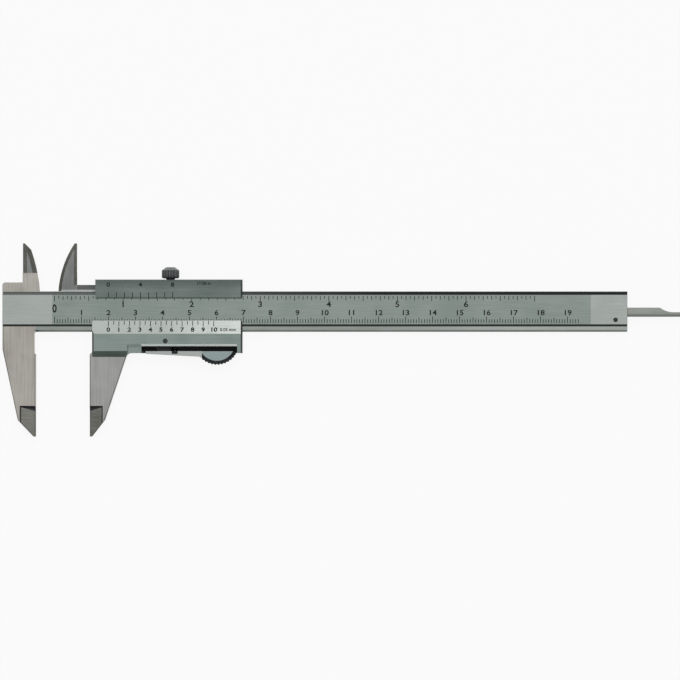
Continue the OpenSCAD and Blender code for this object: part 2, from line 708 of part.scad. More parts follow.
module thumb_lever() {
    z0 = web_t + lever_play;
    z1 = z0 + bar_w;
    color("#9aa5a3") difference() {
        union() {
            along_z(z0, z1) thumb_bar_outline();
            along_z(z0, z_rail - lever_play) lever_core_outline();
        }
        intersection() {
            back_bevel([thumb_x, thumb_y], thumb_r + thumb_tooth_d, thumb_rim_w + thumb_tooth_d, z1,
                       z1 - thumb_rim_d);
            translate([pad_meet_x + thumb_tooth_d, -thumb_drop - past, z0])
                cube([2 * thumb_r, thumb_drop, 2 * bar_w]);
        }
        translate([spring_x - notch_w / 2, -bar_top - notch_h, z1 - notch_d])
            cube([notch_w, notch_h + past, notch_d + past]);
        bar_z(pivot_x, -pivot_drop, -past, z_top + past, pivot_r + pivot_play);
        bar_y(spring_x, -bar_top - seat_d, -bar_top + past, spring_r + lever_play);
    }
}

module lever_pin() {
    color("#3c4240") bar_z(pivot_x, -pivot_drop, seat_d, z_top - slider_edge / 2, pivot_r);
}

// Points of the spring's wire, its rings of corners, and the least gap between one turn and the next
spring_y0 = -bar_top - seat_d + spring_wire_r + seat_gap;
spring_y1 = -guide_rail_h + seat_d - spring_wire_r - seat_gap;
rings_per_turn = 8;
wire_sides = 6;
spring_rings = spring_turns * rings_per_turn;
spring_mean_r = spring_r - spring_wire_r;

function spring_point(i) =
    let (a = 360 * i / rings_per_turn)
    [spring_mean_r * cos(a), spring_y0 + (spring_y1 - spring_y0) * i / spring_rings, spring_mean_r * sin(a)];

function wire_corner(i, k) =
    let (a = 360 * i / rings_per_turn, b = 360 * k / wire_sides)
    spring_point(i) + spring_wire_r * (cos(b) * [cos(a), 0, sin(a)] + sin(b) * [0, 1, 0]);

spring_gap = min([for (i = [0 : spring_rings]) for (j = [i + rings_per_turn / 2 : 1 : spring_rings])
                      norm(spring_point(i) - spring_point(j))]) - 2 * spring_wire_r;
echo(spring_gap = spring_gap);

module lever_spring() {
    corners = [for (i = [0 : spring_rings]) for (k = [0 : wire_sides - 1]) wire_corner(i, k)];
    sides = [for (i = [0 : spring_rings - 1]) for (k = [0 : wire_sides - 1])
                let (a = i * wire_sides + k, b = i * wire_sides + (k + 1) % wire_sides)
                each [[a, b, a + wire_sides], [b, b + wire_sides, a + wire_sides]]];
    last = spring_rings * wire_sides;
    ends = [for (k = [1 : wire_sides - 2]) each [[0, k + 1, k], [last, last + k, last + k + 1]]];
    color("#55595a") translate([spring_x, 0, z_mid]) polyhedron(points = corners, faces = concat(sides, ends));
}

// Depth rod, whose end is flush with the beam's when the jaws are closed

module depth_rod() {
    cut_h = rod_h - rod_tip_h;
    tip_x = beam_end - rod_tip_len + sqrt(cut_h * (2 * rod_tip_r - cut_h));
    tip_y = rod_y - rod_h / 2 + rod_tip_h;
    back_z = z_rear + rod_sink;
    color("#9a9d98") difference() {
        translate([rod_x, rod_y - rod_h / 2, back_z]) cube([beam_end - rod_x, rod_h, rod_t]);
        translate([tip_x, tip_y, back_z - past]) cube([rod_tip_len, cut_h + past, rod_t + 2 * past]);
        bar_z(tip_x, tip_y + rod_tip_r, back_z - past, back_z + rod_t + past, rod_tip_r);
        for (x = rivet_places) bar_z(x, rod_y, back_z - past, back_z + rod_t + past, rivet_r + seat_gap);
    }
}

module rod_rivet(x) {
    color("#6d716e") countersunk(x, rod_y, 0, z_rear + rod_sink + rod_t, rivet_r, rivet_head_r);
}

placed() beam();
placed() end_stop();
placed() end_stop_screw(-1, z_front - beam_break);  // end_stop_screw_lower
placed() end_stop_screw(1, z_mid);  // end_stop_screw_upper
placed() sliding() slider();
placed() sliding() gib();
placed() sliding() gib_screw(gib_screw_places[0]);  // gib_screw_near
placed() sliding() gib_screw(gib_screw_places[1]);  // gib_screw_far
placed() sliding() lock_screw();
placed() sliding() lock_pad();
placed() sliding() thumb_lever();
placed() sliding() lever_pin();
placed() sliding() lever_spring();
placed() sliding() depth_rod();
placed() sliding() rod_rivet(rivet_places[0]);  // rod_rivet_near
placed() sliding() rod_rivet(rivet_places[1]);  // rod_rivet_far
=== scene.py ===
"""Looks of a pocket vernier caliper: finishes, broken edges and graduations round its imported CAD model."""

import bpy
import json
import math
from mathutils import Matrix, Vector


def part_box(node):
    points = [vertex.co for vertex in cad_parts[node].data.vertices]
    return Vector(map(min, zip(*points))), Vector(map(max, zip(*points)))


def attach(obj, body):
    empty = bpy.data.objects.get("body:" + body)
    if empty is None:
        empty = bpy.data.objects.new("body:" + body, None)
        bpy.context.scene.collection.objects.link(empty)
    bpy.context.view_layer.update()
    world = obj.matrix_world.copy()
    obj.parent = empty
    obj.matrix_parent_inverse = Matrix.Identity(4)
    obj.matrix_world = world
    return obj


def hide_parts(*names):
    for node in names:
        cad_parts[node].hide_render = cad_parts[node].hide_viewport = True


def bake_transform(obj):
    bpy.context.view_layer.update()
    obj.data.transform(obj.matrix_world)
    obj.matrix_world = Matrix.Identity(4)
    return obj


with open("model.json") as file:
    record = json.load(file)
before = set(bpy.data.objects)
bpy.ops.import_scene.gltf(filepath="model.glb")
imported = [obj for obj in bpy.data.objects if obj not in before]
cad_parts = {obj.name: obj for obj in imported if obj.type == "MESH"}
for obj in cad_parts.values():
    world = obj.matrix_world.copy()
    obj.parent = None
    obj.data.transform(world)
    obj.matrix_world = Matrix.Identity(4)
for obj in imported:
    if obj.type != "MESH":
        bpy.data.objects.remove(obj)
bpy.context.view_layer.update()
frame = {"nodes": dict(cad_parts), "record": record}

# Places that the rest is counted from, in metres in the row frame
MM = 0.001
JAW_REACH = 38.8 * MM
mounts = {m["name"]: Vector(m["pos_m"]) for m in frame["record"]["mounts"]}
fixed_face_x = mounts["fixed_jaw_face"].x
moving_face_x = mounts["moving_jaw_face"].x
guide_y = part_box("beam")[0].y + JAW_REACH
scale_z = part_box("beam")[1].z
slider_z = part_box("slider")[1].z
lever_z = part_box("thumb_lever")[1].z

# Sizes of the CAD model that the finishes follow, in mm: along X from a measuring face, in Y from the guide edge
BEAM_H = 15.0
LOW_GROOVE = (2.0, 2.8)
TOP_GROOVE = (13.7, 14.8)
GROOVE_FACE_DEPTH = (0.01, 0.6)
SCALE_FIELD = (6.2, 205.6)
CORNER_X = 0.9
NIB_KNIFE_Y = 21.8
NIB_FOOT_X = 1.6
KNIFE_Y = -27.4
FIXED_KNIFE_W = -5.4
MOVING_KNIFE_W = 4.4
KNIFE_SHOULDER = 0.55
SIDE_PLAY = 0.08
WEB_T = 1.6
VERNIER_EDGE_T = 0.35
LOW_VERNIER_Y = 4.2
LOW_VERNIER_RUN = 4.9
UP_VERNIER_Y = 12.35
UP_EDGE_W = 0.45
SLIDER_TOP_Y = 19.35
SLIDER_EDGE = 0.4
UPPER_RAIL_X = 2.2
NIB_X = -4.75
ARM_Y = 14.5
ARM_STRIP_Y = 15.65
JAW_CHAMFER_X = 1.0
JAW_TOP_Y = -8.2
RAMP_Y = (-9.3, -7.1)
WALL_BEVEL_Y = (-5.3, -4.5)
POCKET_X = (19.2, 54.9)
POCKET_Y = (-8.0, -0.9)
THUMB_PAD_X = 41.65
THUMB_BAR_Y = -7.15
NOTCH_X = 31.54
NOTCH_HALF_W = 1.2
NOTCH_H = 1.05
NOTCH_DEPTH = 0.05
LOCK_HEAD_Y = 29.35
ABOVE_ALL_Y = 40

# Margins in mm round such a place
FINE_MARGIN = 0.02
MARGIN = 0.05
SPARED_MARGIN = 0.1

# Widths of the broken edges in mm, and the least length of an edge that gets one
BROKEN_EDGE = 0.36
KNURL_EDGE = 0.16
LEVER_EDGE = 0.05
SPRING_EDGE = 0.02
LONG_EDGE = 2.0

# Part of a face's unit normal along an axis, from which the face lies flat, faces that way, is a knife's bevel,
# leans that way, or is the slope of the lower vernier
LYING_FLAT = 0.995
FACING = 0.9
KNIFE_BEVEL = 0.8
LEANING = 0.3
VERNIER_LEAN = 0.15

# Where a finish passes into another, in the same mm: depth of the painted shade below a knife's shoulder, at the
# measuring face and at the jaw's outer side, and start and end of each fade
KNIFE_SHADE = (2.0, 0.6)
LEDGE_FADE_X = (130, 165)
TOP_GROOVE_FADE_X = (20, 125)
VERNIER_HIGHLIGHT_X = (28, 60)
UPPER_RAIL_FADE_Y = (15.5, SLIDER_TOP_Y)
ROD_EDGE_SHADE_Y = (7.0, 5.9)
LOCK_FOOT_SHADE_Y = (19.6, 21.2)

rail_z = scale_z + SIDE_PLAY * MM
web_z = WEB_T * MM


def row_point(x, y, z, face_x=fixed_face_x):
    """Point in the row frame from mm along and across the beam and a level in metres."""
    return Vector((face_x + x * MM, guide_y + y * MM, z))


def beam_mm(point, face_x=fixed_face_x):
    """Where a point of the row frame lies, in mm from a measuring face and the lower guide edge."""
    return (point.x - face_x) / MM, (point.y - guide_y) / MM


# Material helpers

# Sockets of a Mix node that are meant for colours, the part of two added noises that spans the tones, and the bump
MIX_FACTOR, MIX_A, MIX_B, MIX_COLOUR = 0, 6, 7, 2
TONE_MIN, TONE_MAX = 0.7, 1.3
RELIEF = 0.35


def srgb(code):
    """Linear colour of an sRGB hex value."""
    parts = [int(code[i:i + 2], 16) / 255 for i in (1, 3, 5)]
    return tuple(c / 12.92 if c <= 0.04045 else ((c + 0.055) / 1.055) ** 2.4 for c in parts) + (1.0,)


def add(tree, kind, inputs=(), **settings):
    """Adds a node with its settings; an input is a value or the socket that feeds it."""
    node = tree.nodes.new(kind)
    for name, value in settings.items():
        setattr(node, name, value)
    for name, value in dict(inputs).items():
        if isinstance(value, bpy.types.NodeSocket):
            tree.links.new(value, node.inputs[name])
        else:
            node.inputs[name].default_value = value
    return node


def fade(tree, place, colour, axis, start, end, other):
    """Colour that passes into another one along an axis, from start to end in metres."""
    reach = add(tree, "ShaderNodeSeparateXYZ", {"Vector": place}).outputs[axis]
    share = add(tree, "ShaderNodeMapRange", {"Value": reach, "From Min": start, "From Max": end})
    passing = add(tree, "ShaderNodeMix", {MIX_FACTOR: share.outputs[0], MIX_A: colour, MIX_B: srgb(other)},
                  data_type="RGBA")
    return passing.outputs[MIX_COLOUR]


def metal(name, dark, light, grain, roughness, cloud=9.0, depth=0.004, faded=None):
    """Ground or brushed metal: grain gives the length of its marks in mm along X, Y and Z, cloud the size of the
    slow changes of tone in mm, depth the height of the marks in mm, and faded the last four values of fade."""
    material = bpy.data.materials.new(name)
    material.use_nodes = True
    tree = material.node_tree
    shader = tree.nodes["Principled BSDF"]
    shader.inputs["Metallic"].default_value = 1.0
    place = add(tree, "ShaderNodeTexCoord").outputs["Object"]
    drawn = add(tree, "ShaderNodeMapping", {"Vector": place, "Scale": [1 / (g * MM) for g in grain]})
    marks = add(tree, "ShaderNodeTexNoise", {"Vector": drawn.outputs["Vector"], "Scale": 1.0, "Detail": 3.0})
    clouds = add(tree, "ShaderNodeTexNoise", {"Vector": place, "Scale": 1 / (cloud * MM), "Detail": 2.0})
    blend = add(tree, "ShaderNodeMath", {0: marks.outputs["Fac"], 1: clouds.outputs["Fac"]}, operation="ADD")
    spread = add(tree, "ShaderNodeMapRange", {"Value": blend.outputs[0], "From Min": TONE_MIN, "From Max": TONE_MAX})
    tone = add(tree, "ShaderNodeMix", {MIX_FACTOR: spread.outputs[0], MIX_A: srgb(dark), MIX_B: srgb(light)},
               data_type="RGBA")
    gloss = add(tree, "ShaderNodeMapRange", {"Value": blend.outputs[0], "From Min": TONE_MIN, "From Max": TONE_MAX,
                                             "To Min": roughness[0], "To Max": roughness[1]})
    relief = add(tree, "ShaderNodeBump", {"Height": marks.outputs["Fac"], "Strength": RELIEF, "Distance": depth * MM})
    colour = tone.outputs[MIX_COLOUR]
    tree.links.new(fade(tree, place, colour, *faded) if faded else colour, shader.inputs["Base Color"])
    tree.links.new(gloss.outputs[0], shader.inputs["Roughness"])
    tree.links.new(relief.outputs[0], shader.inputs["Normal"])
    return material


def enamel(name, dark, light, speck, roughness, faded=None, shine=0.5):
    """Black that is not metal, for fillings, films and painted shade: speck is the size of its worn specks in mm,
    faded the last four values of fade, and shine the shader's specular level."""
    material = bpy.data.materials.new(name)
    material.use_nodes = True
    tree = material.node_tree
    shader = tree.nodes["Principled BSDF"]
    shader.inputs["Specular IOR Level"].default_value = shine
    place = add(tree, "ShaderNodeTexCoord").outputs["Object"]
    specks = add(tree, "ShaderNodeTexNoise", {"Vector": place, "Scale": 1 / (speck * MM), "Detail": 4.0})
    tone = add(tree, "ShaderNodeMix", {MIX_FACTOR: specks.outputs["Fac"], MIX_A: srgb(dark), MIX_B: srgb(light)},
               data_type="RGBA")
    gloss = add(tree, "ShaderNodeMapRange", {"Value": specks.outputs["Fac"], "To Min": roughness[0],
                                             "To Max": roughness[1]})
    colour = tone.outputs[MIX_COLOUR]
    tree.links.new(fade(tree, place, colour, *faded) if faded else colour, shader.inputs["Base Color"])
    tree.links.new(gloss.outputs[0], shader.inputs["Roughness"])
    return material


def along(span, face_x=fixed_face_x):
    """Axis, start and end of a fade over a span along X, in mm from a measuring face."""
    return "X", face_x + span[0] * MM, face_x + span[1] * MM


def across(span):
    """Axis, start and end of a fade over a span in Y, in mm from the guide edge."""
    return "Y", guide_y + span[0] * MM, guide_y + span[1] * MM


# Finishes. The grind marks of the real jaws are about 0.05 mm wide, and are drawn ten times as coarse to show.

# Hardened stainless steel ground up and down the jaw: warm grey with upright streaks
ground_jaw = metal("ground_stainless_jaw", "#938f88", "#b6b2ac", (0.55, 18, 0.55), (0.26, 0.38))
# The same steel on the moving jaw, a little cooler
ground_moving_jaw = metal("ground_stainless_moving_jaw", "#8b8b89", "#a9a9a7", (0.55, 18, 0.55), (0.26, 0.38))
# Inside jaws, darker
dark_nib = metal("ground_stainless_dark_nib", "#6d6f6e", "#8d8f8e", (0.5, 10, 0.5), (0.28, 0.4))
# Knife bevels of all four jaws, ground across, and the same steel painted darker still as shade on their slopes
dark_knife = metal("ground_stainless_knife", "#6c6c66", "#8a8984", (6, 0.5, 0.5), (0.3, 0.42))
# Arm of the moving inside jaw: dark, with marks along the beam
dark_arm = metal("dull_stainless_arm", "#56585a", "#6f706e", (8, 0.5, 0.5), (0.34, 0.46))
# Narrow shoulders and end chamfers, painted dull dark grey as shade
shaded_chamfer = metal("steel_chamfer_painted_shade", "#4b504d", "#676c69", (4, 0.5, 0.5), (0.38, 0.5))
# Grey of the chamfer along the beam's lower edge, painted there as shade, and of the lock screw's cone
grey_chamfer = metal("grey_steel_chamfer", "#787d7a", "#8e938f", (4, 0.5, 0.5), (0.34, 0.46))
# Satin chrome of the graduated field: cool green grey, marks along the beam
satin_scale = metal("satin_chrome_scale", "#828d88", "#98a19c", (12, 0.5, 0.5), (0.3, 0.42))
# Bare satin chrome, lighter: ends and back of the beam, bar of the thumb lever, end stop and rivets
satin_end = metal("satin_chrome_end", "#9ca29d", "#b1b6b2", (12, 0.5, 0.5), (0.28, 0.4))
# Ledge under the lower groove, growing lighter towards the beam's right end
satin_ledge = metal("satin_chrome_ledge", "#868d88", "#9ca39e", (12, 0.5, 0.5), (0.3, 0.42),
                    faded=(*along(LEDGE_FADE_X), "#a4aaa5"))
# Satin chrome of the slider, darker and greener
satin_slider = metal("satin_chrome_slider", "#798580", "#909c97", (14, 0.5, 0.5), (0.27, 0.38))
# The same on the upper rail, darker along its top
satin_upper = metal("satin_chrome_upper_rail", "#7e8a85", "#95a19c", (14, 0.5, 0.5), (0.27, 0.38),
                    faded=(*across(UPPER_RAIL_FADE_Y), "#6f7b76"))
# Ramp above the moving jaw and edge of the upper vernier: the slider's chrome painted dark green as shade
shaded_slider_chrome = metal("satin_chrome_painted_shade", "#5b6a63", "#6f7d76", (14, 0.5, 0.5), (0.3, 0.42))
# Lower vernier slope: the same chrome almost without green, with a painted highlight that grows paler towards the
# thumb
satin_vernier = metal("satin_chrome_vernier", "#757a77", "#898d8a", (14, 0.5, 0.5), (0.27, 0.38),
                      faded=(*along(VERNIER_HIGHLIGHT_X, moving_face_x), "#999d9a"))
# Thumb pad: the same chrome, lighter
satin_thumb = metal("satin_chrome_thumb", "#829090", "#98a5a5", (8, 0.5, 0.5), (0.27, 0.38))
# Depth rod: plain drawn steel, less bright than the beam's ends, with shade painted along its lower edge
drawn_rod = metal("drawn_stainless_rod", "#888b86", "#a0a39e", (12, 0.5, 0.5), (0.28, 0.4),
                  faded=(*across(ROD_EDGE_SHADE_Y), "#6c6f6a"))
# Lower edge of the slider's wall, painted bright as a highlight
highlit_wall_edge = metal("steel_edge_painted_highlight", "#a4aba8", "#c3c8c5", (6, 0.5, 0.5), (0.2, 0.32), depth=0.002)
# Blackened steel of screws and pin: nearly black, with a soft shine. The same black is on the thumb pad's rim, and is
# painted as shade on the knives' upper shoulders and in the corners below them
black_steel_and_shade = metal("blackened_steel_and_painted_shade", "#2e3132", "#484b4c", (0.8, 0.8, 0.8), (0.34, 0.48), cloud=3.0)
# Tips of the lock screw's knurl and underside of its head: blackened steel painted light grey, partly as finger wear
# and partly as a painted highlight, and left black at the foot as a painted shadow under the head
knurl_wear_sheen_and_shade = metal("blackened_knurl_wear_sheen_and_shade", "#1b1c1e", "#2e2f31", (0.8, 0.8, 0.8), (0.55, 0.7), cloud=3.0,
                     faded=(*across(LOCK_FOOT_SHADE_Y), "#b6b7ba"))
# Hard drawn spring wire, bluish grey
spring_wire = metal("drawn_spring_wire", "#565b60", "#7b8085", (0.4, 2, 0.4), (0.25, 0.38), cloud=2.0)
# Brass strip of the gib and its pad, dull yellow
drawn_brass = metal("drawn_brass_strip", "#a5823d", "#c9a75c", (6, 0.4, 0.4), (0.3, 0.45))
# Black in the thumb lever's pocket, on the lever's part up in the slot and in the beam's lower corner, painted as
# shade: deep and matt
painted_shade_black = enamel("matt_black_painted_shade", "#0b0f0e", "#1a1f1d", 0.6, (0.55, 0.75))
# Near black in the beam's lower groove, a little greyed
low_groove_black = enamel("matt_black_low_groove", "#1d2220", "#30363a", 0.6, (0.55, 0.75))
# The same in the upper groove, lighter towards the jaws
top_groove_dark = enamel("matt_black_top_groove", "#656a68", "#858a88", 0.6, (0.55, 0.75),
                     faded=(*along(TOP_GROOVE_FADE_X), "#0b0f0e"))
# Black filling of the etched graduations, worn to dark grey in specks
graduation_black = enamel("black_graduation_filling", "#0e1211", "#2b312e", 0.4, (0.5, 0.7), shine=0.2)


# Modelling helpers

X, Y = Vector((1, 0, 0)), Vector((0, 1, 0))
MERGE = 0.002 * MM
FLAT = math.radians(0.5)
SHARP = math.radians(50)
CURVED = math.radians(12)
ROUND = math.radians(70)
NARROW = 0.4


def select_only(piece):
    """Makes a piece the only selected object, and the active one."""
    bpy.ops.object.select_all(action="DESELECT")
    piece.select_set(True)
    bpy.context.view_layer.objects.active = piece


def settle(piece):
    """Puts a piece's place, turn and size into its mesh."""
    select_only(piece)
    bpy.ops.object.transform_apply(location=True, rotation=True, scale=True)


def mark_edges(piece, spared, full_below):
    """Gives a bevel weight to the long sharp outer edges of a mesh, but for the bands in Y that are spared, in mm
    from the guide edge; above full_below the bevel is NARROW."""
    sides = {}
    for face in piece.data.polygons:
        for key in face.edge_keys:
            sides.setdefault(key, []).append((face.normal.copy(), face.center.copy()))
    weights = piece.data.attributes.new("bevel_weight_edge", "FLOAT", "EDGE")
    for edge in piece.data.edges:
        ends = [piece.data.vertices[v].co for v in edge.vertices]
        (normal, middle), (other, beside) = sides[edge.key]
        sharp = normal.angle(other, 0) > SHARP and normal.dot(beside - middle) < 0
        y = beam_mm((ends[0] + ends[1]) / 2)[1]
        kept = any(low < y < high for low, high in spared)
        if sharp and not kept and (ends[0] - ends[1]).length > LONG_EDGE * MM:
            weights.data[edge.index].value = 1.0 if y < full_below else NARROW


def dressed_copy(node, edge, cuts=(), spared=(), full_below=0.0, smooth=CURVED, segments=2):
    """Merged copy of a CAD node, parted at the planes in cuts, each an axis and its place on it, with its long sharp
    edges broken edge mm wide in that many segments, and smooth where faces meet at less than that angle."""
    select_only(frame["nodes"][node])
    bpy.ops.object.duplicate()
    piece = bpy.context.active_object
    piece.name = node + "_finished"
    for key in list(piece.keys()):
        del piece[key]
    piece.parent = None
    piece.data.materials.clear()
    bpy.ops.mesh.customdata_custom_splitnormals_clear()
    bpy.ops.object.mode_set(mode="EDIT")
    bpy.ops.mesh.select_all(action="SELECT")
    bpy.ops.mesh.remove_doubles(threshold=MERGE)
    bpy.ops.mesh.dissolve_limited(angle_limit=FLAT)
    for axis, place in cuts:
        bpy.ops.mesh.select_all(action="SELECT")
        bpy.ops.mesh.bisect(plane_co=axis * place, plane_no=axis, threshold=MERGE)
    bpy.ops.object.mode_set(mode="OBJECT")
    mark_edges(piece, spared, full_below)
    broken = piece.modifiers.new("broken_edges", "BEVEL")
    broken.width = edge * MM
    broken.segments = segments
    broken.limit_method = "WEIGHT"
    broken.use_clamp_overlap = False
    bpy.ops.object.modifier_apply(modifier=broken.name)
    bpy.ops.object.mode_set(mode="EDIT")
    bpy.ops.mesh.select_all(action="SELECT")
    bpy.ops.mesh.remove_doubles(threshold=MERGE)
    bpy.ops.object.mode_set(mode="OBJECT")
    bpy.ops.object.shade_smooth_by_angle(angle=smooth)
    return piece


def finish_faces(piece, choose):
    """Gives each face the material that choose returns for its middle and normal."""
    for face in piece.data.polygons:
        material = choose(face.center, face.normal)
        if material.name not in piece.data.materials:
            piece.data.materials.append(material)
        face.material_index = piece.data.materials.find(material.name)


def stand_for(piece, node, body):
    """Puts a dressed copy in the place of its CAD node."""
    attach(piece, body)
    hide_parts(node)


# Beam with both fixed jaws

def leans(normal):
    """Whether a face neither lies flat nor stands upright."""
    return LEANING < abs(normal.z) < LYING_FLAT


def knife_corner(face_x, width):
    """Plane below the upper shoulder of a knife, as its normal and its place on it: shade is painted black above it,
    deepest at the measuring face."""
    near = row_point(0, KNIFE_Y - KNIFE_SHADE[0], 0, face_x)
    far = row_point(width, KNIFE_Y - KNIFE_SHADE[1], 0, face_x)
    upward = Vector((far.y - near.y, near.x - far.x, 0)).normalized()
    upward *= math.copysign(1, upward.y)
    return upward, upward.dot(near)


def knife_finish(middle, normal, corner):
    """Knives are painted dark, their side shoulders dull dark grey, and their upper shoulders and the corners below
    them black, all as painted shade.
    """
    upward, level = corner
    if abs(normal.z) > KNIFE_BEVEL:
        return black_steel_and_shade if upward.dot(middle) > level else dark_knife
    return black_steel_and_shade if abs(normal.y) > abs(normal.x) else shaded_chamfer


fixed_corner = knife_corner(fixed_face_x, FIXED_KNIFE_W)
moving_corner = knife_corner(moving_face_x, MOVING_KNIFE_W)


def beam_finish(middle, normal):
    x, y = beam_mm(middle)
    below_face = scale_z - middle.z
    for (low, high), groove_dark in ((LOW_GROOVE, low_groove_black), (TOP_GROOVE, top_groove_dark)):
        in_groove = low - FINE_MARGIN < y < high + FINE_MARGIN
        if in_groove and GROOVE_FACE_DEPTH[0] * MM < below_face < GROOVE_FACE_DEPTH[1] * MM:
            return groove_dark
    if y < KNIFE_Y and x > FIXED_KNIFE_W - KNIFE_SHOULDER and leans(normal):
        return knife_finish(middle, normal, fixed_corner)
    if y > NIB_KNIFE_Y:
        return dark_knife if leans(normal) else dark_nib
    if y > TOP_GROOVE[1] and x < NIB_FOOT_X or y < LOW_GROOVE[0] and x < 0:
        return ground_jaw
    # The lower chamfer is painted grey as shade, and black as shade in the corner by the fixed jaw
    if y < LOW_GROOVE[0] and leans(normal):
        return painted_shade_black if x < CORNER_X else grey_chamfer
    if 0 < y < LOW_GROOVE[0] and normal.z > FACING:
        return satin_ledge
    if SCALE_FIELD[0] < x < SCALE_FIELD[1] and y > LOW_GROOVE[1] and normal.z > FACING:
        return satin_scale
    return satin_end


# The edges of both grooves and the beam's upper edge stay sharp
beam_cuts = [(X, fixed_face_x + x * MM) for x in (0, CORNER_X, NIB_FOOT_X, *SCALE_FIELD)]
beam_cuts += [(Y, guide_y + NIB_KNIFE_Y * MM), fixed_corner]
beam = dressed_copy("beam", BROKEN_EDGE, beam_cuts,
                    spared=[(LOW_GROOVE[0] - SPARED_MARGIN, LOW_GROOVE[1] + SPARED_MARGIN),
                            (TOP_GROOVE[0] - SPARED_MARGIN, BEAM_H + SPARED_MARGIN)])
finish_faces(beam, beam_finish)
stand_for(beam, "beam", "beam")


# Slider with both moving jaws

def slider_finish(middle, normal):
    x, y = beam_mm(middle, moving_face_x)
    # The inside of the thumb lever's pocket is painted black as shade
    in_pocket = POCKET_X[0] < x < POCKET_X[1] and POCKET_Y[0] < y < POCKET_Y[1]
    if in_pocket and web_z - FINE_MARGIN * MM < middle.z < rail_z + FINE_MARGIN * MM:
        return painted_shade_black
    if y > ARM_Y and x < UPPER_RAIL_X:
        if leans(normal):
            return dark_knife
        if y < ARM_STRIP_Y:
            return satin_end
        return dark_arm if x > NIB_X else dark_nib
    if y < KNIFE_Y and x < MOVING_KNIFE_W + KNIFE_SHOULDER and leans(normal):
        return knife_finish(middle, normal, moving_corner)
    if y < RAMP_Y[0] + MARGIN or y < RAMP_Y[1] and x < JAW_CHAMFER_X:
        return ground_moving_jaw
    # End chamfers, the ramp and the upper vernier edge are painted dark as shade, and the wall's lower bevel bright
    # as a highlight
    if leans(normal) and abs(normal.x) > LEANING:
        return shaded_chamfer
    if RAMP_Y[0] < y < RAMP_Y[1] and leans(normal):
        return shaded_slider_chrome
    if WALL_BEVEL_Y[0] < y < WALL_BEVEL_Y[1] and leans(normal) and x > POCKET_X[0]:
        return highlit_wall_edge
    if y < LOW_VERNIER_Y and leans(normal) and normal.y > VERNIER_LEAN:
        return satin_vernier
    if UP_VERNIER_Y - MARGIN < y < UP_VERNIER_Y + UP_EDGE_W:
        return shaded_slider_chrome
    return satin_upper if y > UP_VERNIER_Y and normal.z > LEANING else satin_slider


# Only the jaw and the upper vernier edge take broken edges; the slider's other edges have their chamfers
slider_cuts = [(X, moving_face_x + x * MM) for x in (NIB_X, UPPER_RAIL_X, POCKET_X[0])]
slider_cuts += [(Y, guide_y + y * MM) for y in (UP_VERNIER_Y + UP_EDGE_W, ARM_STRIP_Y)]
slider_cuts += [moving_corner]
slider = dressed_copy("slider", BROKEN_EDGE, slider_cuts,
                      spared=[(JAW_TOP_Y, UP_VERNIER_Y - SPARED_MARGIN),
                              (UP_VERNIER_Y + SPARED_MARGIN, ABOVE_ALL_Y)])
finish_faces(slider, slider_finish)
stand_for(slider, "slider", "slider")


# Thumb lever and its spring

def lever_finish(middle, normal):
    x, y = beam_mm(middle, moving_face_x)
    in_notch = abs(x - NOTCH_X) < NOTCH_HALF_W and middle.z < lever_z - NOTCH_DEPTH * MM
    # The lever's part up in the slot and its notch are painted black as shade
    if y > THUMB_BAR_Y + MARGIN or in_notch and y > THUMB_BAR_Y - NOTCH_H:
        return painted_shade_black
    if x < THUMB_PAD_X:
        return satin_end
    return black_steel_and_shade if abs(normal.z) < LYING_FLAT else satin_thumb


thumb_lever = dressed_copy("thumb_lever", LEVER_EDGE, [(X, moving_face_x + THUMB_PAD_X * MM)])
finish_faces(thumb_lever, lever_finish)
stand_for(thumb_lever, "thumb_lever", "thumb_lever")

# The spring between the slider and the lever, its upper end in the slider and its lower end on the lever, stays in
# its modelled place
lever_spring = dressed_copy("lever_spring", SPRING_EDGE, smooth=ROUND)
lever_spring.data.materials.append(spring_wire)
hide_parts("lever_spring")
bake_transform(lever_spring)


# Lock screw: the tips of its knurl are worn flat and painted light, partly as wear and partly as a painted highlight,
# the flanks between them stay black, and the foot of its head is painted black as shadow
lock_low, lock_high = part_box("lock_screw")
lock_axis = (lock_low + lock_high) / 2


def lock_finish(middle, normal):
    outward = Vector((middle.x - lock_axis.x, 0, middle.z - lock_axis.z)).normalized()
    if normal.y > LEANING:
        return grey_chamfer
    return knurl_wear_sheen_and_shade if normal.dot(outward) > FACING or normal.y < -LEANING else black_steel_and_shade


lock_screw = dressed_copy("lock_screw", KNURL_EDGE, full_below=LOCK_HEAD_Y, segments=1)
finish_faces(lock_screw, lock_finish)
stand_for(lock_screw, "lock_screw", "lock_screw")

# Pieces whose CAD shape is complete take a finish only
for node, material in (
        ("end_stop", satin_end), ("end_stop_screw_lower", black_steel_and_shade), ("end_stop_screw_upper", black_steel_and_shade),
        ("gib", drawn_brass), ("gib_screw_near", black_steel_and_shade), ("gib_screw_far", black_steel_and_shade),
        ("lock_pad", drawn_brass), ("lever_pin", black_steel_and_shade), ("depth_rod", drawn_rod),
        ("rod_rivet_near", satin_end), ("rod_rivet_far", satin_end)):
    frame["nodes"][node].data.materials.clear()
    frame["nodes"][node].data.materials.append(material)


# Graduations: thin strokes and numbers of filling that stand just proud of the metal

STROKE_W = 0.26
STROKE_T = 0.05
STROKE_CORNER = 0.4
PROUD = 0.012
DIGIT_SHARE = 0.72
DIGIT_STEPS = 3
low_slope = math.atan2(slider_z - rail_z - VERNIER_EDGE_T * MM, LOW_VERNIER_RUN * MM)
up_slope = math.atan2(slider_z - rail_z - VERNIER_EDGE_T * MM, (SLIDER_TOP_Y - SLIDER_EDGE - UP_VERNIER_Y) * MM)
vernier_z = rail_z + VERNIER_EDGE_T * MM


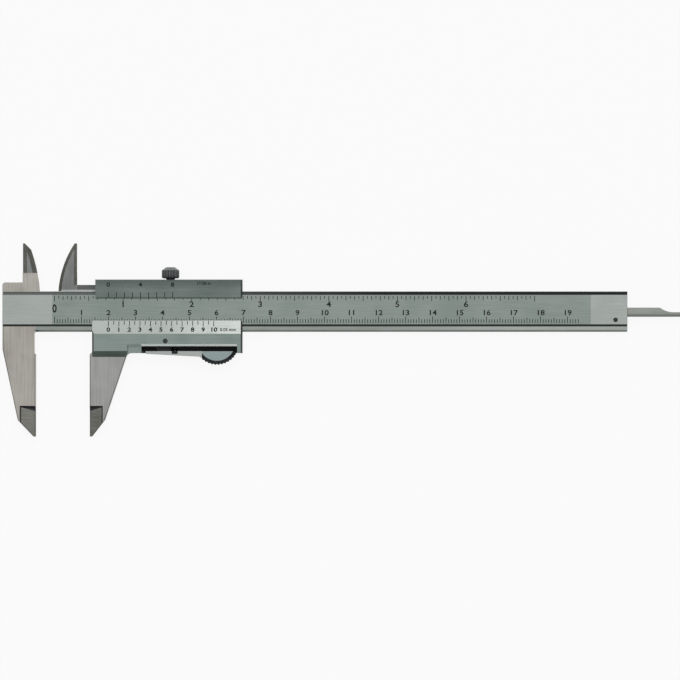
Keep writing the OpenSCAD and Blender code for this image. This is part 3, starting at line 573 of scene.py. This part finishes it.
def stroke_row(name, repeats, length, place, tilt, body):
    """Strokes along X from place on, repeated by each count and pitch in turn; a stroke runs length mm up the face,
    which is tilted about X, and its corners are rounded by a share of its width."""
    bpy.ops.object.select_all(action="DESELECT")
    bpy.ops.mesh.primitive_cube_add(size=1, location=(0, length * MM / 2, (PROUD - STROKE_T / 2) * MM))
    row = bpy.context.active_object
    row.name = name
    row.scale = (STROKE_W * MM, length * MM, STROKE_T * MM)
    settle(row)
    bpy.ops.object.mode_set(mode="EDIT")
    bpy.ops.mesh.select_mode(type="EDGE")
    bpy.ops.mesh.select_all(action="DESELECT")
    bpy.ops.object.mode_set(mode="OBJECT")
    for edge in row.data.edges:
        ends = [row.data.vertices[v].co for v in edge.vertices]
        edge.select = abs(ends[0].z - ends[1].z) > STROKE_T * MM / 2
    bpy.ops.object.mode_set(mode="EDIT")
    bpy.ops.mesh.bevel(offset=STROKE_W * MM * STROKE_CORNER, segments=2, affect="EDGES")
    bpy.ops.object.mode_set(mode="OBJECT")
    for count, pitch in repeats:
        repeat = row.modifiers.new("divisions", "ARRAY")
        repeat.count = count
        repeat.use_relative_offset = False
        repeat.use_constant_offset = True
        repeat.constant_offset_displace = (pitch * MM, 0, 0)
        bpy.ops.object.modifier_apply(modifier=repeat.name)
    row.rotation_euler = (tilt, 0, 0)
    row.location = place
    settle(row)
    row.data.materials.append(graduation_black)
    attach(row, body)


def numbers(name, words, height, places, tilt, body, stretch=1.2, bold=0.06):
    """Numbers as one mesh, each with its middle at its place; bold is the growth of their outline in mm. A digit's
    height is a share of the font's size."""
    made = []
    for word, place in zip(words, places):
        bpy.ops.object.select_all(action="DESELECT")
        bpy.ops.object.text_add()
        mark = bpy.context.active_object
        mark.data.body = word
        mark.data.align_x = "CENTER"
        mark.data.align_y = "CENTER"
        mark.data.size = height * MM / DIGIT_SHARE
        mark.data.extrude = STROKE_T * MM / 2
        mark.data.offset = bold * MM
        mark.data.resolution_u = DIGIT_STEPS
        bpy.ops.object.convert(target="MESH")
        bpy.ops.object.mode_set(mode="EDIT")
        bpy.ops.mesh.select_all(action="SELECT")
        bpy.ops.mesh.remove_doubles(threshold=MERGE)
        bpy.ops.mesh.normals_make_consistent(inside=False)
        bpy.ops.object.mode_set(mode="OBJECT")
        mark.location = place + (PROUD - STROKE_T / 2) * MM * Vector((0, -math.sin(tilt), math.cos(tilt)))
        mark.rotation_euler = (tilt, 0, 0)
        mark.scale = (stretch, 1, 1)
        settle(mark)
        made.append(mark)
    select_only(made[0])
    if len(made) > 1:
        for mark in made:
            mark.select_set(True)
        bpy.ops.object.join()
    group = bpy.context.active_object
    group.name = name
    group.data.materials.clear()
    group.data.materials.append(graduation_black)
    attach(group, body)


# Main scales on the beam: millimetres along the lower groove, sixteenths of an inch along the upper one
SCALE_ZERO = 7.0
INCH = 25.4
MM_FOOT = 3.2
INCH_HEAD = 13.35
INCH_COUNT = 7
INCH_STROKE = 2.1
CENTIMETRES = range(1, 20)
INCHES = range(1, INCH_COUNT)
ZERO_H, ZERO_Y = 3.0, 8.5
CENTIMETRE_H, CENTIMETRE_Y = 1.9, 7.0
INCH_H, INCH_Y = 2.1, 10.1

# Every stroke is one piece of its full length: four millimetres between each two halves of a centimetre, and so on
for label, first, repeats, length in (("millimetre", 1, ((4, 1), (39, 5)), 1.5),
                                      ("half_centimetre", 5, ((19, 10),), 2.1),
                                      ("centimetre", 0, ((20, 10),), 2.5)):
    stroke_row(label + "_strokes", repeats, length,
               row_point(SCALE_ZERO + first, MM_FOOT, scale_z), 0, "beam")
for label, parts, length in (("sixteenth_inch", 16, 1.1), ("eighth_inch", 8, 1.5), ("quarter_inch", 4, 1.7),
                             ("half_inch", 2, 1.9)):
    stroke_row(label + "_strokes", ((INCH_COUNT * parts // 2, 2 * INCH / parts),), length,
               row_point(SCALE_ZERO + INCH / parts, INCH_HEAD - length, scale_z), 0, "beam")
stroke_row("inch_strokes", ((INCH_COUNT + 1, INCH),), INCH_STROKE,
           row_point(SCALE_ZERO, INCH_HEAD - INCH_STROKE, scale_z), 0, "beam")
numbers("shared_zero", ["0"], ZERO_H, [row_point(SCALE_ZERO, ZERO_Y, scale_z)], 0, "beam", stretch=0.8, bold=0.12)
numbers("centimetre_numbers", [str(n) for n in CENTIMETRES], CENTIMETRE_H,
        [row_point(SCALE_ZERO + 10 * n, CENTIMETRE_Y, scale_z) for n in CENTIMETRES], 0, "beam")
numbers("inch_numbers", [str(n) for n in INCHES], INCH_H,
        [row_point(SCALE_ZERO + INCH * n, INCH_Y, scale_z) for n in INCHES], 0, "beam")

# Verniers on the slider's two sloped edges
VERNIER_DIVISIONS = 20
VERNIER_LENGTH = 39.0
INCH_DIVISIONS = 8
INCH_VERNIER_LENGTH = 15 / 16 * INCH
VERNIER_GAP = 0.1
HALF_STROKE = 1.5
TENTH_STROKE = 2.1
INCH_VERNIER_STROKE = 2.2
VERNIER_H = 1.6
VERNIER_NUMBER_Y = 0.75
INCH_VERNIER_NUMBER_Y = 17.4
UNIT_H = 1.2
UNIT_BOLD = 0.04
UNIT_PLACE = (51.3, 0.75)
INCH_UNIT_PLACE = (42.3, 17.9)


def low_vernier(x, y):
    """Point on the lower vernier slope."""
    return row_point(x, y, vernier_z + (LOW_VERNIER_Y - y) * MM * math.tan(low_slope), moving_face_x)


def up_vernier(x, y):
    """Point on the upper vernier slope."""
    return row_point(x, y, vernier_z + (y - UP_VERNIER_Y) * MM * math.tan(up_slope), moving_face_x)


pitch = VERNIER_LENGTH / VERNIER_DIVISIONS
stroke_row("vernier_half_strokes", ((VERNIER_DIVISIONS // 2, 2 * pitch),), HALF_STROKE,
           low_vernier(SCALE_ZERO + pitch, LOW_VERNIER_Y - (HALF_STROKE + VERNIER_GAP)), -low_slope, "slider")
stroke_row("vernier_tenth_strokes", ((VERNIER_DIVISIONS // 2 + 1, 2 * pitch),), TENTH_STROKE,
           low_vernier(SCALE_ZERO, LOW_VERNIER_Y - (TENTH_STROKE + VERNIER_GAP)), -low_slope, "slider")
tenths = range(VERNIER_DIVISIONS // 2 + 1)
numbers("vernier_numbers", [str(n) for n in tenths], VERNIER_H,
        [low_vernier(SCALE_ZERO + 2 * pitch * n, VERNIER_NUMBER_Y) for n in tenths], -low_slope, "slider",
        bold=0.08)
numbers("vernier_unit", ["0.05 mm"], UNIT_H, [low_vernier(*UNIT_PLACE)], -low_slope, "slider", stretch=1.0,
        bold=UNIT_BOLD)
inch_pitch = INCH_VERNIER_LENGTH / INCH_DIVISIONS
stroke_row("inch_vernier_strokes", ((INCH_DIVISIONS + 1, inch_pitch),), INCH_VERNIER_STROKE,
           up_vernier(SCALE_ZERO, UP_VERNIER_Y + VERNIER_GAP), up_slope, "slider")
halves = range(0, INCH_DIVISIONS + 1, INCH_DIVISIONS // 2)
numbers("inch_vernier_numbers", [str(n) for n in halves], VERNIER_H,
        [up_vernier(SCALE_ZERO + inch_pitch * n, INCH_VERNIER_NUMBER_Y) for n in halves], up_slope, "slider")
numbers("inch_vernier_unit", ["1/128 in"], UNIT_H, [up_vernier(*INCH_UNIT_PLACE)], up_slope, "slider", stretch=0.95,
        bold=UNIT_BOLD)


# Floor, light and camera

FLOOR_DROP = 0.2
FLOOR_SIZE = 40.0
FLOOR_GLOW = 0.9
FLOOR_ROUGHNESS = 0.9

bpy.ops.object.select_all(action="DESELECT")
bpy.ops.mesh.primitive_plane_add(size=FLOOR_SIZE, location=(0, 0, -FLOOR_DROP * MM))
floor = bpy.context.active_object
floor.name = "floor"
paper = bpy.data.materials.new("white_paper_floor")
paper.use_nodes = True
tree = paper.node_tree
tree.nodes["Principled BSDF"].inputs["Base Color"].default_value = srgb("#f4f4f3")
tree.nodes["Principled BSDF"].inputs["Roughness"].default_value = FLOOR_ROUGHNESS
seen = add(tree, "ShaderNodeLightPath")
mirrored = add(tree, "ShaderNodeMath", {0: seen.outputs["Is Camera Ray"], 1: seen.outputs["Is Glossy Ray"]},
               operation="MAXIMUM")
shown = add(tree, "ShaderNodeMath", {0: mirrored.outputs[0], 1: seen.outputs["Is Transmission Ray"]},
            operation="MAXIMUM")
share = add(tree, "ShaderNodeMath", {0: shown.outputs[0], 1: FLOOR_GLOW}, operation="MULTIPLY")
glow = add(tree, "ShaderNodeEmission", {"Strength": 1.0})
mixed = add(tree, "ShaderNodeMixShader", {0: share.outputs[0], 1: tree.nodes["Principled BSDF"].outputs[0],
                                          2: glow.outputs[0]})
tree.links.new(mixed.outputs[0], tree.nodes["Material Output"].inputs["Surface"])
floor.data.materials.append(paper)

# World: white overhead, where the flat faces mirror it, and grey lower down, so that the sloped faces part from them
SKY = ((0.0, 0.6), (0.15, 0.35), (0.8, 0.35), (0.93, 0.6), (1.0, 1.15))
world = bpy.data.worlds.new("studio")
world.use_nodes = True
bpy.context.scene.world = world
tree = world.node_tree
direction = add(tree, "ShaderNodeTexCoord").outputs["Generated"]
height = add(tree, "ShaderNodeSeparateXYZ", {"Vector": direction}).outputs["Z"]
ramp = add(tree, "ShaderNodeValToRGB", {"Fac": height})
stops = ramp.color_ramp.elements
for place, _ in SKY[1:-1]:
    stops.new(place)
for stop, (_, level) in zip(stops, SKY):
    stop.color = (level, level, level, 1)
tree.links.new(ramp.outputs["Color"], tree.nodes["Background"].inputs["Color"])


def soft_box(name, size, place, radiance):
    """Area lamp of that size in metres, turned to the object."""
    lamp = bpy.data.lights.new(name, "AREA")
    lamp.shape = "RECTANGLE"
    lamp.size, lamp.size_y = size
    lamp.energy = radiance * math.pi * size[0] * size[1]
    holder = bpy.data.objects.new(name, lamp)
    bpy.context.scene.collection.objects.link(holder)
    holder.location = place
    holder.rotation_euler = (-Vector(place)).to_track_quat("-Z", "Y").to_euler()
    holder.visible_camera = False


# A wide soft box above the far side brightens the lower vernier slope, and a strip nearer by the wall's lower bevel
soft_box("soft_box", size=(1.8, 0.9), place=(0.0, 1.3, 2.0), radiance=2.7)
soft_box("strip_light", size=(1.8, 0.25), place=(0.0, -1.76, 1.32), radiance=1.5)

# Camera straight above the scale face; the photograph's frame is 251.85 mm wide there
FRAME_W = 251.85
FRAME_MIDDLE = (-0.71, -0.02)
LENS = 200.0
SENSOR = 36.0
CLIP_END = 100
camera_data = bpy.data.cameras.new("camera")
camera_data.lens = LENS
camera_data.sensor_width = SENSOR
camera_data.clip_end = CLIP_END
camera = bpy.data.objects.new("camera", camera_data)
bpy.context.scene.collection.objects.link(camera)
camera.location = (FRAME_MIDDLE[0] * MM, FRAME_MIDDLE[1] * MM, scale_z + FRAME_W * MM * LENS / SENSOR)
bpy.context.scene.camera = camera
bpy.context.scene.view_settings.view_transform = "Standard"
